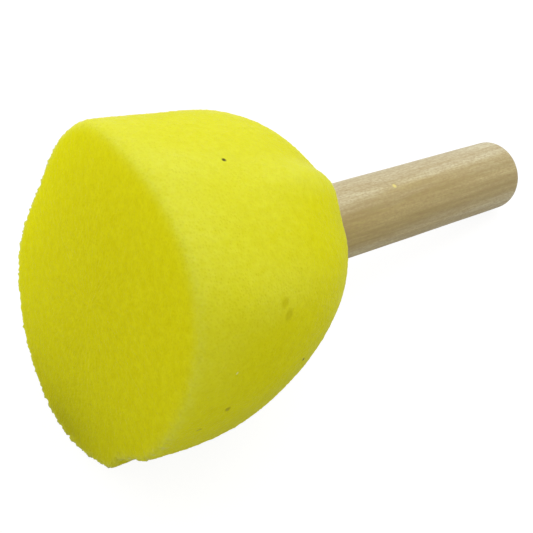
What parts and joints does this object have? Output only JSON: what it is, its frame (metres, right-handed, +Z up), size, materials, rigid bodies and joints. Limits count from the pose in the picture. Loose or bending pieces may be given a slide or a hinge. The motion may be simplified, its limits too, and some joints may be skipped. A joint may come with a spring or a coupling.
{
  "type": "foam sponge brush",
  "caption": "Round foam dabbing head with a flat working face, gathered in behind and glued onto the end of a short plain wooden dowel handle.",
  "frame": {"origin": "centre of the bounding box on the surface that the brush lies on", "axes": "+Z up from that surface; the dowel's free end points along +X and slopes down 13.6 degrees; the working face looks along -X, slightly up and 11 degrees aside towards +Y"},
  "size_m": [0.1182, 0.06, 0.062],
  "materials": {
    "foam": "matte",
    "glue": "satin",
    "wood": "matte"
  },
  "bodies": {
    "stick": {"handle": "wood", "glue_bond": "glue"},
    "sponge": {"foam_head": "foam"}
  },
  "joints": [
    {"name": "dab_press", "type": "slide", "parent": "stick", "child": "sponge", "axis": [0.972, 0, -0.235], "range_m": [0, 0.01], "stiffness_N_per_m": 1000, "deforming": ["foam_head"]}
  ]
}
